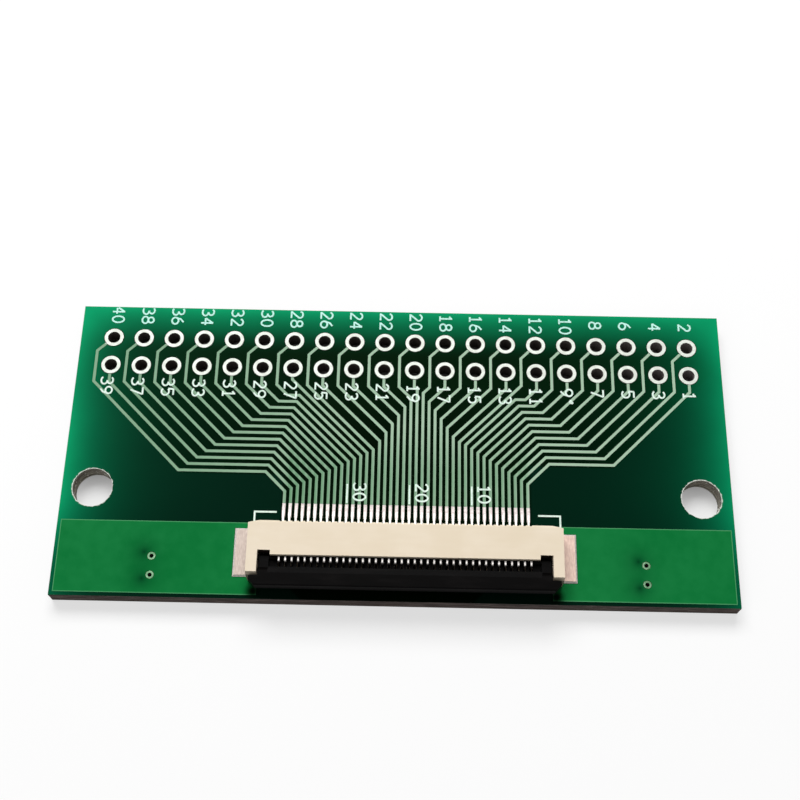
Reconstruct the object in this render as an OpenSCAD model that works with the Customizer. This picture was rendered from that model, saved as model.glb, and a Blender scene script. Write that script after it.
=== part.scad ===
/* [Board] */
// Width of the board, left to right
board_w = 53.8; // [53.4:0.1:58]
// Depth of the board, front to back
board_d = 25.2; // [25:0.1:25.8]
// Thickness of the bare laminate
core_t = 1.46; // [0.7:0.01:2]
// Thickness of the copper foil
copper_t = 0.04; // [0.03:0.005:0.06]
// Thickness of the solder mask over bare laminate
mask_t = 0.05; // [0.03:0.005:0.055]
// Thickness of the solder mask over copper
cover_t = 0.03; // [0.03:0.005:0.05]
// Distance that the mask reaches down past the edge of the copper
cover_edge = 0.015; // [0.01:0.005:0.03]
// Gap between an opening in the mask and the metal in it
mask_gap = 0.03; // [0.02:0.005:0.04]

/* [Header holes] */
// Pitch of the header holes, both ways
header_pitch = 2.54; // [2.5:0.01:2.56]
// Diameter of a finished header hole
hole_d = 1; // [0.8:0.05:1.1]
// Thickness of the plating in a hole
plating_t = 0.05; // [0.03:0.01:0.08]
// Diameter of the ring round a header hole
ring_d = 1.65; // [1.4:0.05:1.7]
// Distance from the back edge to the even row
back_row_inset = 2.9; // [2.6:0.1:3.1]

/* [Mounting holes] */
// Diameter of a mounting hole
mount_hole_d = 3.2; // [2.2:0.1:3.4]
// Distance between the two mounting holes
mount_hole_spacing = 48.9; // [47.5:0.1:49]
// Distance from the front edge to the mounting holes
mount_hole_inset = 8.9; // [8.4:0.1:9.4]

/* [Traces] */
// Width of a trace
trace_w = 0.2; // [0.15:0.01:0.26]
// Distance from the odd row to the first bend of a trace
first_bend_gap = 1.53; // [1.4:0.01:1.6]
// Distance between two level runs
level_step = 0.565; // [0.5:0.005:0.58]
// Distance from the pads to the lowest level run on the left
left_level_gap = 2.64; // [2.4:0.02:2.7]
// Distance from the pads to the lowest level run on the right
right_level_gap = 3.76; // [3.5:0.02:3.9]
// Distance from the pads to the last bend of the outermost trace on the left
left_bend_gap = 1; // [0.8:0.05:1.1]
// Distance from the pads to the last bend of the outermost trace on the right
right_bend_gap = 1.98; // [1.8:0.02:2.1]
// Rise of the last bend from one trace to the next on the left
left_bend_step = 0.265; // [0.24:0.005:0.3]
// Rise of the last bend from one trace to the next on the right
right_bend_step = 0.33; // [0.3:0.005:0.36]
// Least distance between two sloping traces, measured along the width
fan_gap = 0.75; // [0.6:0.05:0.9]

/* [Pads] */
// Pitch of the pads and contacts
pad_pitch = 0.5; // [0.49:0.005:0.51]
// Width of a pad
pad_w = 0.26; // [0.24:0.01:0.32]
// Length of a pad
pad_l = 1.2; // [1.1:0.05:1.3]
// Distance from the front edge to the rear ends of the pads
pad_inset = 7.87; // [7.8:0.01:8]
// Place of the socket, right of the middle of the header holes
socket_x = 0.77; // [0.4:0.01:1]

/* [Underside] */
// Pitch of the pads on the underside
under_pitch = 1; // [0.98:0.01:1.02]
// Width of a pad on the underside
under_pad_w = 0.6; // [0.5:0.02:0.7]
// Length of a pad on the underside
under_pad_l = 1.7; // [1.5:0.05:1.7]
// Width of a trace on the underside
under_trace_w = 0.3; // [0.2:0.02:0.34]
// Place of the row of pads on the underside, left of the middle
under_shift = 0.1; // [0.05:0.01:0.2]
// Width of each pour on the underside
under_pour_w = 9.2; // [8.6:0.1:10]
// Width of the bare land in each pour on the underside
land_w = 2.2; // [1.8:0.1:2.6]
// Depth of the bare land in each pour on the underside
land_d = 3; // [2.4:0.1:3.4]
// Distance from the board's side edge to the bare land
land_inset = 3.6; // [3:0.1:4]

/* [Pours and vias] */
// Gap between a pour and the board's edges
pour_edge_gap = 0.3; // [0.2:0.05:0.4]
// Depth of the left pour
left_pour_d = 5.85; // [5.6:0.05:5.9]
// Depth of the right pour
right_pour_d = 6; // [5.6:0.05:6.1]
// Distance that a pour runs in under the end of the socket
pour_under = 0.7; // [0.5:0.05:0.8]
// Diameter of the hole in a via
via_hole_d = 0.34; // [0.3:0.02:0.4]
// Diameter of the ring round a via
via_ring_d = 0.62; // [0.6:0.02:0.7]
// Distance between the two vias of a pour
via_pitch = 1.53; // [1.3:0.02:1.7]
// Distance from the front edge to the front via
via_inset = 1.75; // [1.6:0.05:1.9]
// Distance from the left edge to the left vias
left_via_inset = 7.75; // [7.4:0.05:8]
// Distance from the right edge to the right vias
right_via_inset = 7.2; // [7:0.05:8]

/* [Socket housing] */
// Height of the housing
housing_h = 2; // [1.98:0.01:2.2]
// Depth of the housing, from its back to the front of its arms
housing_d = 4.36; // [4.3:0.02:4.4]
// Gap between the housing and the plane of the pads
standoff = 0.06; // [0.05:0.01:0.08]
// Distance from the rear ends of the pads to the back of the housing
housing_gap = 2.07; // [2.05:0.01:2.15]
// Depth of the roof
roof_d = 2.8; // [2.7:0.02:2.82]
// Thickness of the front lip of the roof
roof_lip_t = 0.36; // [0.3:0.01:0.4]
// Depth of the front lip of the roof
roof_lip_d = 0.3; // [0.28:0.01:0.34]
// Thickness of the floor
floor_t = 0.46; // [0.42:0.01:0.48]
// Height of the cable's slot
slot_h = 0.48; // [0.44:0.01:0.5]
// Bevel on the roof of the slot's mouth
slot_bevel = 0.12; // [0.08:0.01:0.14]
// Length of the slope that leads the cable in
lead_in_d = 0.2; // [0.1:0.02:0.3]
// Drop of the slope that leads the cable in
lead_in_h = 0.16; // [0.1:0.02:0.2]
// Depth of the wall behind the cable's slot
back_wall_t = 1; // [0.95:0.01:1.2]
// Free width on each side of the cable
cable_side_gap = 0.05; // [0.03:0.01:0.1]
// Width of the guide rail on each side of the cable
guide_w = 0.14; // [0.12:0.01:0.2]
// Height of the guide rails above the floor
guide_h = 0.3; // [0.26:0.01:0.36]
// Width of the notch at each end of the roof
notch_w = 0.98; // [0.95:0.01:1.1]
// Distance that the notch reaches behind the front of the roof
notch_d = 0.34; // [0.32:0.01:0.38]
// Width of the arm at each end
arm_w = 0.84; // [0.8:0.02:0.96]
// Length of the bevel on the front of each arm
arm_bevel_d = 0.18; // [0.18:0.01:0.3]
// Height of the bevel on the front of each arm
arm_bevel_h = 0.4; // [0.4:0.01:0.6]
// Bevel on the top rear edge of the housing
back_bevel = 0.2; // [0.1:0.02:0.3]
// Length of the corner cut at the rear of each end
corner_cut_w = 0.85; // [0.4:0.05:1]
// Depth of the corner cut at the rear of each end
corner_cut_d = 0.25; // [0.1:0.05:0.4]
// Distance from the roof down to the mouths of the contact slots in the back
mouth_drop = 0.1; // [0.08:0.01:0.14]

/* [Contacts] */
// Thickness of the contact strip
contact_t = 0.16; // [0.14:0.01:0.18]
// Clearance round a contact in the housing
contact_gap = 0.02; // [0.01:0.005:0.03]
// Length of the foot behind the housing
foot_l = 1.4; // [1.2:0.05:1.45]
// Height of the foot
foot_t = 0.18; // [0.14:0.01:0.2]
// Distance from the back of the housing to the spine
spine_inset = 0.2; // [0.15:0.01:0.25]
// Depth of the spine
spine_d = 0.52; // [0.4:0.02:0.56]
// Height of the upper beam
upper_beam_t = 0.22; // [0.18:0.01:0.22]
// Length of the hook's lip
hook_lip_d = 0.14; // [0.1:0.01:0.16]
// Radius of the hook's nose
nose_r = 0.12; // [0.08:0.01:0.13]
// Height of the lip's lower end above the axle's middle
hook_lip_drop = 0.1; // [0.06:0.01:0.14]
// Height of the lower beam
lower_beam_t = 0.18; // [0.14:0.01:0.2]
// Gap under the lower beam, above the plane of the pads
lower_beam_gap = 0.26; // [0.24:0.01:0.28]
// Distance from the back of the housing to the contact point
bump_inset = 2.95; // [2.8:0.05:3.1]
// Radius of the contact point
bump_r = 0.16; // [0.12:0.01:0.18]
// Height of the contact point above the floor
bump_h = 0.12; // [0.08:0.01:0.14]
// Length of the lower beam in front of the contact point
beam_tip_l = 0.55; // [0.4:0.05:0.6]

/* [Lock lever] */
// Diameter of the axle
axle_d = 0.44; // [0.4:0.01:0.46]
// Distance from the back of the housing to the axle
axle_inset = 2.85; // [2.83:0.01:2.88]
// Height of the axle above the plane of the pads
axle_h = 1.27; // [1.24:0.01:1.3]
// Gap between the axle and the hooks
axle_gap = 0.04; // [0.02:0.01:0.05]
// Length of each journal
journal_l = 0.5; // [0.35:0.05:0.5]
// Clearance round a journal
journal_gap = 0.05; // [0.03:0.01:0.08]
// Distance from the axle to the front edge of the lever
lever_d = 2.36; // [2.2:0.02:2.4]
// Distance from the axle to the raised plate of the lever
plate_start = 0.87; // [0.85:0.01:0.9]
// Height of the plate's top above the axle
plate_top = 0.72; // [0.6:0.02:0.74]
// Depth of the plate's underside below the axle
plate_under = 0.3; // [0.24:0.01:0.32]
// Length of the bevel along the front of the plate
front_bevel_d = 0.08; // [0.04:0.02:0.2]
// Height of the bevel along the front of the plate
front_bevel_h = 0.12; // [0.06:0.02:0.3]
// Length of the gentle slope along the rear of the plate
rear_slope_d = 0.5; // [0.3:0.02:0.6]
// Drop of the gentle slope along the rear of the plate
rear_slope_h = 0.14; // [0.06:0.02:0.2]
// Height of the comb's top above the axle
comb_top = 0; // [-0.04:0.01:0]
// Clearance on each side of a hook in its slot
hook_gap = 0.05; // [0.03:0.01:0.07]
// Distance from the axle to the end of the slots
slot_reach = 0.7; // [0.68:0.01:0.8]
// Diameter of the hub at each end
hub_d = 0.56; // [0.5:0.02:0.6]
// Height of the end block's step above the axle
end_step_h = 0.34; // [0.3:0.01:0.36]
// Length of the slope from the end block's step up to the plate
end_slope_d = 0.34; // [0.2:0.02:0.4]
// Clearance between the lever and the notch and arm beside it
lever_side_gap = 0.1; // [0.05:0.01:0.14]
// Gap between the front bar and the arms
bar_gap = 0.1; // [0.08:0.01:0.15]
// Distance that the front bar stops short of the housing's end
bar_inset = 0.25; // [0.1:0.05:0.4]
// Corner cut at each end of the front bar
bar_corner = 0.45; // [0.2:0.05:0.6]

/* [Solder tabs] */
// Thickness of the tab's metal
tab_t = 0.2; // [0.15:0.01:0.22]
// Length of the tab along the housing's end
tab_l = 3.7; // [3.5:0.05:3.9]
// Distance that the tab stands out past the housing's end
tab_reach = 1.1; // [0.9:0.05:1.3]
// Distance from the back of the housing to the tab
tab_inset = 0.25; // [0.15:0.05:0.4]
// Height of the leg that is set into the housing's end
leg_h = 0.86; // [0.6:0.02:0.9]
// Length of the leg
leg_l = 2.2; // [1.6:0.1:2.4]
// Depth of the leg's outer face below the housing's end
leg_inset = 0.05; // [0.03:0.01:0.06]
// Clearance round the leg
leg_gap = 0.02; // [0.01:0.005:0.03]

/* [Solder] */
// Width of the solder on a pad
solder_w = 0.24; // [0.22:0.01:0.26]
// Height of the solder film on a pad
solder_film_t = 0.05; // [0.03:0.01:0.06]
// Height of the fillet against the foot
fillet_h = 0.16; // [0.12:0.01:0.17]
// Length of the fillet behind the foot
fillet_l = 0.4; // [0.3:0.05:0.5]
// Gap between the solder and the ends of its pad
solder_end_gap = 0.05; // [0.03:0.01:0.08]
// Width of the solder round a tab
tab_solder_w = 0.12; // [0.08:0.02:0.2]

/* [Hidden] */
$fn = 64;
pin_count = 40;
left_level_pins = 13;
right_level_pins = 11;

// Cuts run this far out past the faces that they open
over = 1;

// Layers of the board, from the surface that it rests on
film_h = copper_t + cover_t;
core_bottom = film_h;
core_top = core_bottom + core_t;
pad_plane = core_top + copper_t;
front_y = -board_d / 2;

// Header holes
ring_r = ring_d / 2;
drill_r = hole_d / 2 + plating_t;
even_row_y = board_d / 2 - back_row_inset;
odd_row_y = even_row_y - header_pitch;
first_column_x = header_pitch * (pin_count / 2 - 1) / 2;
first_bend_y = odd_row_y - first_bend_gap;

// Pads and the fan of traces
pad_rear_y = front_y + pad_inset;
pad_front_y = pad_rear_y - pad_l;
last_direct_left = pin_count - left_level_pins;
last_direct_right = right_level_pins + 1;

// Socket, across its width from the middle
cable_half = pad_pitch * (pin_count + 1) / 2 + cable_side_gap;
guide_half = cable_half + guide_w;
notch_half = guide_half + notch_w;
housing_half = notch_half + arm_w;
housing_rear_y = pad_rear_y - housing_gap;

// Socket, in height above the pads and in distance forward of its back
floor_top = standoff + floor_t;
slot_top = floor_top + slot_h;
roof_top = standoff + housing_h;
notch_back = roof_d - notch_d;
axle_r = axle_d / 2;
beam_under = axle_h + axle_r + axle_gap;
beam_top = beam_under + upper_beam_t;
hook_face = axle_inset + axle_r + axle_gap;
hook_end = hook_face + hook_lip_d;
block_front = roof_d - roof_lip_d;
spine_front = spine_inset + spine_d;
beam_end = bump_inset + beam_tip_l;
bump_z = floor_top + bump_h - bump_r;

// Lever, across its width from the middle
lever_half = notch_half - lever_side_gap;
hub_inner = guide_half + lever_side_gap;
bar_half = housing_half - bar_inset;
bar_start = housing_d + bar_gap - axle_inset;

// Tabs, across from the socket's middle
leg_outer = housing_half - leg_inset;
leg_inner = leg_outer - tab_t;
tab_outer = housing_half + tab_reach;
tab_front_y = housing_rear_y - tab_inset - tab_l;
leg_start = tab_inset + (tab_l - leg_l) / 2;
window_outer = tab_outer + tab_solder_w + mask_gap;

// Pours and vias
pour_front_y = front_y + pour_edge_gap;
pour_outer_x = board_w / 2 - pour_edge_gap;
pour_socket_half = housing_half - pour_under;
left_via_x = -board_w / 2 + left_via_inset;
right_via_x = board_w / 2 - right_via_inset;
via_front_y = front_y + via_inset;
land_y = pour_front_y + min(left_pour_d, right_pour_d) / 2;
land_x = board_w / 2 - land_inset - land_w / 2;

// Pins: odd numbers lie in the row nearer the socket, and pin 1 is on the right
odd_pins = [1:2:pin_count];
even_pins = [2:2:pin_count];
all_pins = [1:pin_count];
function is_even(n) = n % 2 == 0;
function hole_x(n) = first_column_x - header_pitch * floor((n - 1) / 2);
function hole_y(n) = is_even(n) ? even_row_y : odd_row_y;
function drop_x(n) = hole_x(n) - (is_even(n) ? header_pitch / 2 : 0);
function pad_x(n) = socket_x + pad_pitch * ((pin_count + 1) / 2 - n);
function under_pad_x(n) = -under_shift + under_pitch * ((pin_count + 1) / 2 - n);

// The way out of a hole: even traces step over to run between two odd holes
function way_out(n) = is_even(n)
    ? [[hole_x(n), even_row_y], [drop_x(n), even_row_y - header_pitch / 2]]
    : [[hole_x(n), odd_row_y]];

// The outer traces on each side run level for a while; the others slope straight to their pads
function on_left_level(n) = n > last_direct_left;
function on_right_level(n) = n < last_direct_right;
function rank(n) = on_left_level(n) ? pin_count - n : n - 1;
function level_y(n) = pad_rear_y + (on_left_level(n) ? left_level_gap : right_level_gap) + level_step * rank(n);
function last_bend_y(n) = on_left_level(n)
    ? pad_rear_y + left_bend_gap + left_bend_step * rank(n)
    : pad_rear_y + right_bend_gap + right_bend_step * rank(n);

// A sloping trace leaves its hole early enough to keep clear of the level traces beside it
function left_clear_y(n) = let (m = last_direct_left + 1)
    pad_x(m) + last_bend_y(m) + fan_gap * (m - n) - drop_x(n);
function right_clear_y(n) = let (m = last_direct_right - 1)
    last_bend_y(m) - pad_x(m) + fan_gap * (n - m) + drop_x(n);
function slope_y(n) = max(first_bend_y, pad_x(n) > drop_x(n) ? left_clear_y(n) : right_clear_y(n));

function level_run(n) = let (s = sign(pad_x(n) - drop_x(n)), y = level_y(n), bend = last_bend_y(n)) [
    [drop_x(n), first_bend_y],
    [drop_x(n) + s * (first_bend_y - y), y],
    [pad_x(n) - s * (y - bend), y],
    [pad_x(n), bend],
];
function slope_run(from_x, to_x, y, w) = abs(to_x - from_x) < w / 2
    ? [[from_x, y]]
    : [[from_x, y], [to_x, y - abs(to_x - from_x)]];
function trace_path(n) = concat(
    way_out(n),
    on_left_level(n) || on_right_level(n) ? level_run(n) : slope_run(drop_x(n), pad_x(n), slope_y(n), trace_w),
    [[pad_x(n), pad_rear_y]]
);
function under_trace_path(n) = concat(
    way_out(n),
    slope_run(drop_x(n), under_pad_x(n), first_bend_y, under_trace_w),
    [[under_pad_x(n), pad_rear_y]]
);

// Outline of a strip along a path, with mitred bends
function left_of(a, b) = let (d = (b - a) / norm(b - a)) [-d[1], d[0]];
function mitre(p, i) = let (
    before = left_of(p[max(i, 1) - 1], p[max(i, 1)]),
    after = left_of(p[min(i, len(p) - 2)], p[min(i, len(p) - 2) + 1])
) (before + after) / (1 + before * after);
function left_side(p, half) = [for (i = [0:len(p) - 1]) p[i] + half * mitre(p, i)];
function right_side(p, half) = [for (i = [len(p) - 1:-1:0]) p[i] - half * mitre(p, i)];
function pad_corners(x, w, l) = [
    [x + w / 2, pad_rear_y],
    [x + w / 2, pad_rear_y - l],
    [x - w / 2, pad_rear_y - l],
    [x - w / 2, pad_rear_y],
];

module top_side() translate([0, 0, core_top]) children();
module under_side() translate([0, 0, core_bottom]) mirror([0, 0, 1]) children();
module at_socket() translate([socket_x, housing_rear_y, pad_plane]) children();

// Turns a profile, drawn as distance forward and height, into a bar across the socket
module across(w) rotate([90, 0, -90]) linear_extrude(w, center = true) children();
module both_ends() for (s = [0, 1]) mirror([s, 0, 0]) children();

module holes_2d(pins, r) for (n = pins) translate([hole_x(n), hole_y(n)]) circle(r);
module mount_holes_2d() for (s = [-1, 1]) translate([s * mount_hole_spacing / 2, front_y + mount_hole_inset])
    circle(d = mount_hole_d);
module vias_2d(x, r) for (i = [0, 1]) translate([x, via_front_y + i * via_pitch]) circle(r);

// Copper strips without their pads, as wide as asked
module strips_2d(w) for (n = all_pins) polygon(concat(
    left_side(trace_path(n), w / 2),
    right_side(trace_path(n), w / 2)
));
module under_strips_2d(w) for (n = all_pins) polygon(concat(
    left_side(under_trace_path(n), w / 2),
    right_side(under_trace_path(n), w / 2)
));

module pour_2d(s, inner_x, grow) let (outer = pour_outer_x + grow, w = outer - s * inner_x + grow)
    translate([s > 0 ? outer - w : -outer, pour_front_y - grow])
        square([w, (s > 0 ? right_pour_d : left_pour_d) + 2 * grow]);
module pours_2d(grow) {
    pour_2d(-1, socket_x - pour_socket_half, grow);
    pour_2d(1, socket_x + pour_socket_half, grow);
}
module under_pours_2d(grow) {
    pour_2d(-1, under_pour_w - pour_outer_x, grow);
    pour_2d(1, pour_outer_x - under_pour_w, grow);
}

module pad_openings_2d() for (n = all_pins)
    translate([pad_x(n) - pad_w / 2 - mask_gap, pad_front_y - mask_gap])
        square([pad_w + 2 * mask_gap, pad_l + mask_gap]);
module under_pad_openings_2d() for (n = all_pins)
    translate([under_pad_x(n) - under_pad_w / 2 - mask_gap, pad_rear_y - under_pad_l - mask_gap])
        square([under_pad_w + 2 * mask_gap, under_pad_l + mask_gap]);
module tab_window_2d() translate([socket_x, 0]) both_ends()
    translate([leg_inner - mask_gap, tab_front_y - tab_solder_w - mask_gap])
        square([window_outer - leg_inner + mask_gap, tab_l + 2 * (tab_solder_w + mask_gap)]);
module land_windows_2d() both_ends() translate([land_x, land_y]) square([land_w, land_d], center = true);
module hole_openings_2d() {
    holes_2d(all_pins, ring_r + mask_gap);
    vias_2d(left_via_x, via_ring_d / 2 + mask_gap);
    vias_2d(right_via_x, via_ring_d / 2 + mask_gap);
    mount_holes_2d();
}

// A film over the board, raised over the copper: the copper widened, the copper itself, the openings
module mask_film() difference() {
    union() {
        linear_extrude(mask_t) square([board_w, board_d], center = true);
        translate([0, 0, mask_t / 2]) linear_extrude(film_h - mask_t / 2) children(0);
    }
    translate([0, 0, -over]) linear_extrude(over + copper_t) children(1);
    translate([0, 0, -over]) linear_extrude(2 * over) children(2);
}

module laminate_core() color("darkkhaki") translate([0, 0, core_bottom]) linear_extrude(core_t) difference() {
    square([board_w, board_d], center = true);
    holes_2d(all_pins, drill_r);
    mount_holes_2d();
    vias_2d(left_via_x, via_hole_d / 2 + plating_t);
    vias_2d(right_via_x, via_hole_d / 2 + plating_t);
}

module top_solder_mask() color("darkgreen") top_side() mask_film() {
    union() {
        strips_2d(trace_w + 2 * cover_edge);
        pours_2d(cover_edge);
    }
    union() {
        strips_2d(trace_w);
        pours_2d(0);
    }
    union() {
        hole_openings_2d();
        pad_openings_2d();
        tab_window_2d();
    }
}

module underside_solder_mask() color("darkgreen") under_side() mask_film() {
    union() {
        under_strips_2d(under_trace_w + 2 * cover_edge);
        under_pours_2d(cover_edge);
    }
    union() {
        under_strips_2d(under_trace_w);
        under_pours_2d(0);
    }
    union() {
        hole_openings_2d();
        under_pad_openings_2d();
        land_windows_2d();
    }
}

// A plated hole: a barrel through the laminate with a ring on each face
module plated_hole(bore_r, rim_r) translate([0, 0, core_bottom]) rotate_extrude() polygon([
    [bore_r, -film_h],
    [rim_r, -film_h],
    [rim_r, 0],
    [bore_r + plating_t, 0],
    [bore_r + plating_t, core_t],
    [rim_r, core_t],
    [rim_r, core_t + film_h],
    [bore_r, core_t + film_h],
]);
module plated_row(pins) for (n = pins) translate([hole_x(n), hole_y(n), 0]) plated_hole(hole_d / 2, ring_r);
module header_holes_odd_row() color("gainsboro") plated_row(odd_pins);
module header_holes_even_row() color("gainsboro") plated_row(even_pins);

module stitch_vias(x) for (i = [0, 1]) translate([x, via_front_y + i * via_pitch, 0])
    plated_hole(via_hole_d / 2, via_ring_d / 2);
module left_stitch_vias() color("gainsboro") stitch_vias(left_via_x);
module right_stitch_vias() color("gainsboro") stitch_vias(right_via_x);

// A copper trace with its pad, cut back to the ring of its hole
module trace(n, path, w, x, end_w, end_l) linear_extrude(copper_t) difference() {
    polygon(concat(left_side(path, w / 2), pad_corners(x, end_w, end_l), right_side(path, w / 2)));
    translate([hole_x(n), hole_y(n)]) circle(ring_r);
}
module top_traces(pins) for (n = pins) trace(n, trace_path(n), trace_w, pad_x(n), pad_w, pad_l);
module under_traces(pins) for (n = pins)
    trace(n, under_trace_path(n), under_trace_w, under_pad_x(n), under_pad_w, under_pad_l);
module odd_pin_traces() color("yellowgreen") top_side() top_traces(odd_pins);
module even_pin_traces() color("yellowgreen") top_side() top_traces(even_pins);
module odd_pin_underside_traces() color("yellowgreen") under_side() under_traces(odd_pins);
module even_pin_underside_traces() color("yellowgreen") under_side() under_traces(even_pins);

module pour(s, inner_x, via_x) linear_extrude(copper_t) difference() {
    pour_2d(s, inner_x, 0);
    vias_2d(via_x, via_ring_d / 2);
}
module left_pour() color("seagreen") top_side() pour(-1, socket_x - pour_socket_half, left_via_x);
module right_pour() color("seagreen") top_side() pour(1, socket_x + pour_socket_half, right_via_x);
module left_underside_pour() color("seagreen") under_side() pour(-1, under_pour_w - pour_outer_x, left_via_x);
module right_underside_pour() color("seagreen") under_side() pour(1, pour_outer_x - under_pour_w, right_via_x);

// Housing: an end profile all the way across, hollowed for the cable, the lever and the contacts
module end_profile() polygon([
    [0, standoff],
    [housing_d, standoff],
    [housing_d, roof_top - arm_bevel_h],
    [housing_d - arm_bevel_d, roof_top],
    [back_bevel, roof_top],
    [0, roof_top - back_bevel],
]);
module cable_slot_profile() polygon([
    [back_wall_t, floor_top],
    [housing_d - lead_in_d, floor_top],
    [housing_d, floor_top - lead_in_h],
    [housing_d + over, floor_top - lead_in_h],
    [housing_d + over, slot_top + slot_bevel],
    [block_front, slot_top + slot_bevel],
    [block_front - slot_bevel, slot_top],
    [back_wall_t, slot_top],
]);
module lever_bay_profile() polygon([
    [block_front, floor_top + guide_h],
    [housing_d + over, floor_top + guide_h],
    [housing_d + over, roof_top + over],
    [roof_d, roof_top + over],
    [roof_d, roof_top - roof_lip_t],
    [block_front, roof_top - roof_lip_t],
]);
module notch_profile() polygon([
    [notch_back, floor_top],
    [housing_d - lead_in_d, floor_top],
    [housing_d, floor_top - lead_in_h],
    [housing_d + over, floor_top - lead_in_h],
    [housing_d + over, roof_top + over],
    [notch_back, roof_top + over],
]);
module contact_slot_profile() {
    translate([-over, -over]) square([over + back_bevel / 2, over + roof_top - mouth_drop]);
    translate([-over, -over]) square([over + spine_front + contact_gap, over + beam_top + contact_gap]);
    translate([0, beam_under - contact_gap]) square([housing_d, upper_beam_t + 2 * contact_gap]);
    translate([0, lower_beam_gap - contact_gap]) square([beam_end + contact_gap, floor_top - lower_beam_gap + slot_h / 2]);
}
module journal_holes() both_ends() translate([notch_half - lever_side_gap, -axle_inset, axle_h]) rotate([0, 90, 0])
    cylinder(h = journal_l + lever_side_gap, r = axle_r + journal_gap);
module leg_pockets() both_ends() {
    translate([leg_inner - leg_gap, -leg_start - leg_l - leg_gap, 0])
        cube([over, leg_l + 2 * leg_gap, leg_h + leg_gap]);
    translate([leg_inner - leg_gap, -tab_inset - tab_l - leg_gap, 0])
        cube([over, tab_l + 2 * leg_gap, tab_t + leg_gap]);
}
module corner_cuts() both_ends() linear_extrude(roof_top + over) polygon([
    [housing_half - corner_cut_w, 0],
    [housing_half, -corner_cut_d],
    [housing_half + over, -corner_cut_d],
    [housing_half + over, over],
    [housing_half - corner_cut_w, over],
]);
module socket_housing() color("antiquewhite") at_socket() difference() {
    across(2 * housing_half) end_profile();
    across(2 * cable_half) cable_slot_profile();
    across(2 * guide_half) lever_bay_profile();
    both_ends() translate([(guide_half + notch_half) / 2, 0, 0]) across(notch_w) notch_profile();
    for (n = all_pins) translate([pad_x(n) - socket_x, 0, 0])
        across(contact_t + 2 * contact_gap) contact_slot_profile();
    journal_holes();
    leg_pockets();
    corner_cuts();
}

// A stamped contact: foot, spine, lower spring beam with its contact point, upper beam with its hook
module contact_profile() {
    translate([-foot_l, 0]) square([foot_l + spine_front, foot_t]);
    translate([spine_inset, 0]) square([spine_d, beam_top]);
    translate([spine_inset, beam_under]) square([hook_end - nose_r - spine_inset, upper_beam_t]);
    translate([hook_face, axle_h + hook_lip_drop])
        square([hook_lip_d, beam_top - nose_r - axle_h - hook_lip_drop]);
    translate([hook_end - nose_r, beam_top - nose_r]) circle(nose_r);
    translate([spine_inset, lower_beam_gap]) square([beam_end - spine_inset, lower_beam_t]);
    translate([bump_inset, bump_z]) circle(bump_r);
    translate([bump_inset - bump_r, lower_beam_gap]) square([2 * bump_r, bump_z - lower_beam_gap]);
}
module contacts() color("silver") at_socket() for (n = all_pins) translate([pad_x(n) - socket_x, 0, 0])
    across(contact_t) contact_profile();

// Lever profiles are drawn from the axle: distance forward and height
function plate_front() = [
    [lever_d, -plate_under],
    [lever_d, plate_top - front_bevel_h],
    [lever_d - front_bevel_d, plate_top],
];
module plate_profile() polygon(concat([[plate_start, -plate_under]], plate_front(), [
    [plate_start + rear_slope_d, plate_top],
    [plate_start, plate_top - rear_slope_h],
]));
module bar_profile() polygon(concat([[bar_start, -plate_under]], plate_front(), [[bar_start, plate_top]]));
module end_block_profile() polygon(concat([[0, -axle_r], [plate_start, -plate_under]], plate_front(), [
    [plate_start + end_slope_d, plate_top],
    [plate_start, end_step_h],
    [0, hub_d / 2],
]));
module bar_corner_cuts() both_ends() linear_extrude(2 * over, center = true) polygon([
    [bar_half - bar_corner, -lever_d],
    [bar_half, bar_corner - lever_d],
    [bar_half + over, bar_corner - lever_d],
    [bar_half + over, -lever_d - over],
    [bar_half - bar_corner, -lever_d - over],
]);
module comb() difference() {
    across(2 * hub_inner) translate([0, -axle_r]) square([plate_start + rear_slope_d, axle_r + comb_top]);
    for (n = all_pins) translate([pad_x(n) - socket_x, 0, 0])
        across(contact_t + 2 * hook_gap) translate([-over, -over]) square([over + slot_reach, 2 * over]);
}
module lever_ends() both_ends() {
    translate([hub_inner, 0, 0]) rotate([0, 90, 0]) cylinder(h = lever_half - hub_inner, d = hub_d);
    translate([(hub_inner + lever_half) / 2, 0, 0]) across(lever_half - hub_inner) end_block_profile();
}
module lock_lever() color("dimgray") at_socket() translate([0, -axle_inset, axle_h]) difference() {
    union() {
        across(2 * hub_inner) plate_profile();
        across(2 * bar_half) bar_profile();
        comb();
        lever_ends();
        translate([-lever_half - journal_l + journal_gap, 0, 0]) rotate([0, 90, 0])
            cylinder(h = 2 * (lever_half + journal_l - journal_gap), r = axle_r);
    }
    bar_corner_cuts();
}

// A solder tab: a leg set into the housing's end and a foot flat on its pour
module solder_tab() {
    translate([leg_inner, -tab_inset - tab_l, 0]) cube([tab_outer - leg_inner, tab_l, tab_t]);
    translate([leg_inner, -leg_start - leg_l, 0]) cube([tab_t, leg_l, leg_h]);
}
module left_solder_tab() color("rosybrown") at_socket() mirror([1, 0, 0]) solder_tab();
module right_solder_tab() color("rosybrown") at_socket() solder_tab();

// Solder on a pad: a film that climbs to the end of the foot and along its sides
module pad_solder() difference() {
    across(solder_w) polygon([
        [-housing_gap + solder_end_gap, 0],
        [pad_l - housing_gap - solder_end_gap, 0],
        [pad_l - housing_gap - solder_end_gap, solder_film_t],
        [pad_l - housing_gap - 2 * solder_end_gap, fillet_h],
        [-foot_l - fillet_l / 4, fillet_h],
        [-foot_l - fillet_l, solder_film_t],
        [-housing_gap + 2 * solder_end_gap, solder_film_t],
    ]);
    across(contact_t) translate([-foot_l, -over]) square([foot_l + over, over + foot_t]);
}
module contact_solder() color("lightgray") at_socket() for (n = all_pins) translate([pad_x(n) - socket_x, 0, 0])
    pad_solder();

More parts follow.
